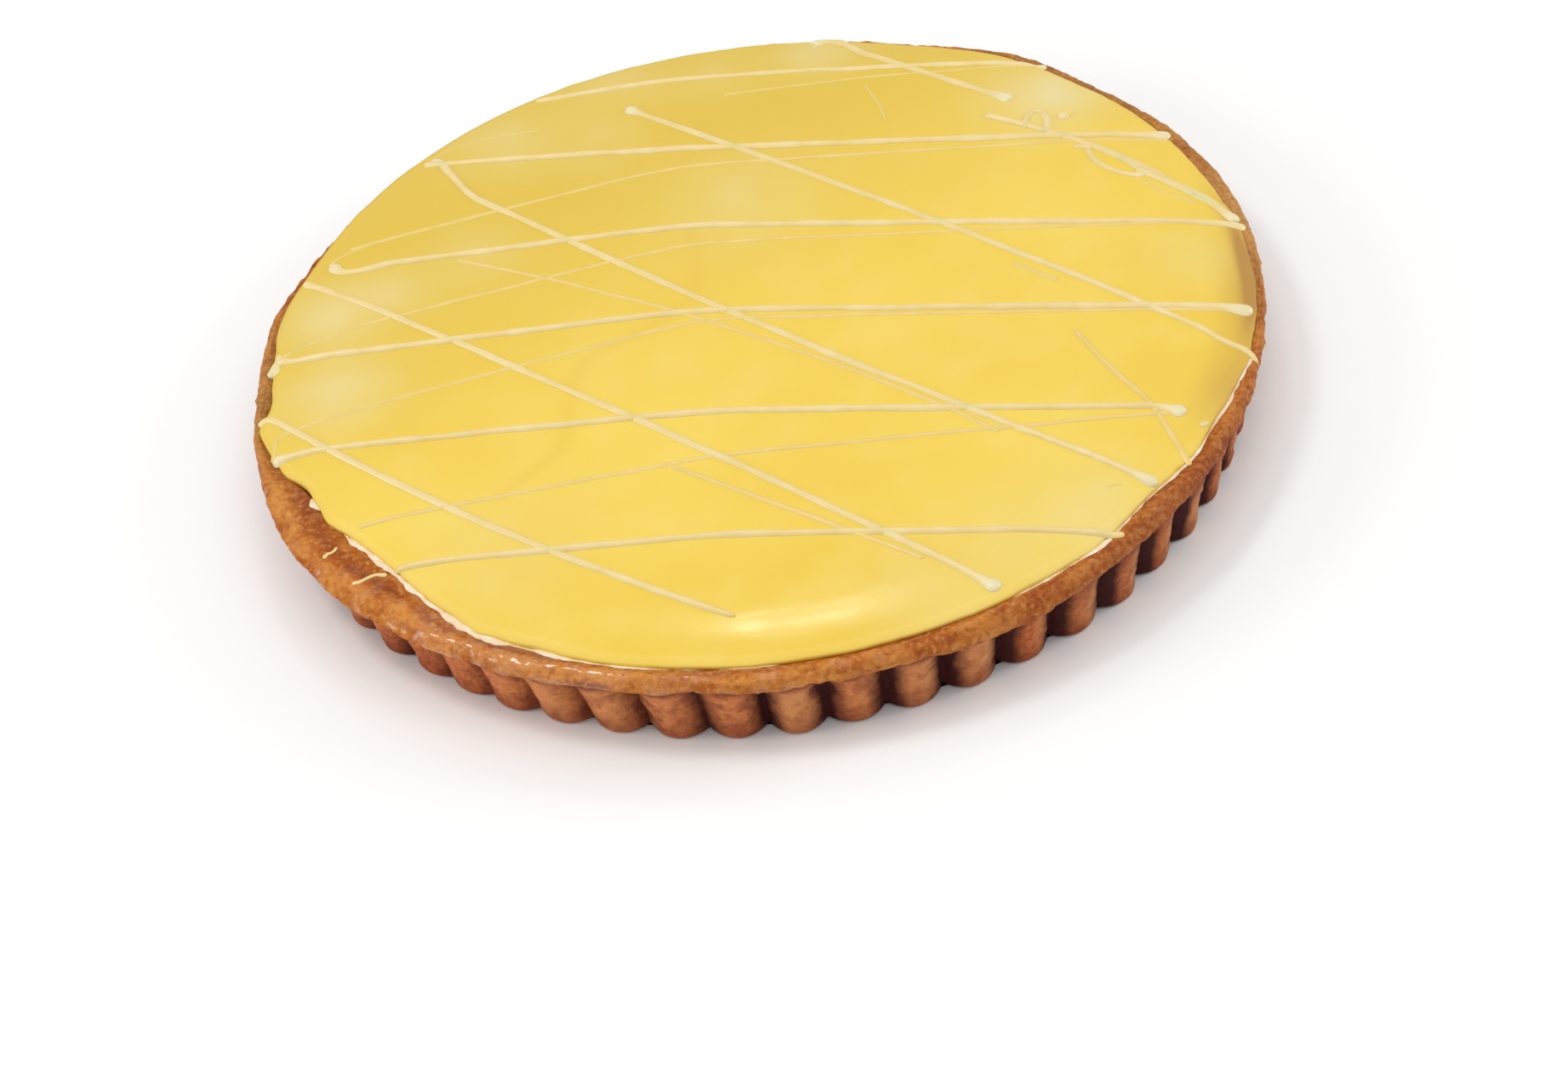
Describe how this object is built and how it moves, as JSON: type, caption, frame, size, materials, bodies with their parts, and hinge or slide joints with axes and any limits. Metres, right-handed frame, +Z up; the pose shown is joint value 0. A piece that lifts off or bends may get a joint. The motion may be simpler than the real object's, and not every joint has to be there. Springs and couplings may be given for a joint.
{
  "type": "lemon tart",
  "caption": "Round lemon tart: a low fluted shortcrust shell filled with curd, sponge and cream, under a smooth poured glaze with icing drizzled across it in two directions.",
  "frame": {"origin": "centre of the flat underside of the shell", "axes": "+Z up through the glaze; +X to the right and -Y to the front as the picture shows the tart"},
  "size_m": [0.2796, 0.2762, 0.0279],
  "materials": {
    "crust": "baked shortcrust, golden brown, darker in the grooves, glossy where egg wash pooled on the lip",
    "curd": "set lemon curd, moist and slightly translucent",
    "sponge": "fine open crumb, dry and matt",
    "cream": "whipped cream, soft and satin",
    "glaze": "poured lemon glaze, smooth and glossy, slightly translucent",
    "icing": "pale icing drizzle, satin"
  },
  "bodies": {
    "root": {"crust": "crust", "lower_curd": "curd", "sponge": "sponge", "upper_curd": "curd", "cream": "cream", "glaze": "glaze"}
  },
  "joints": []
}
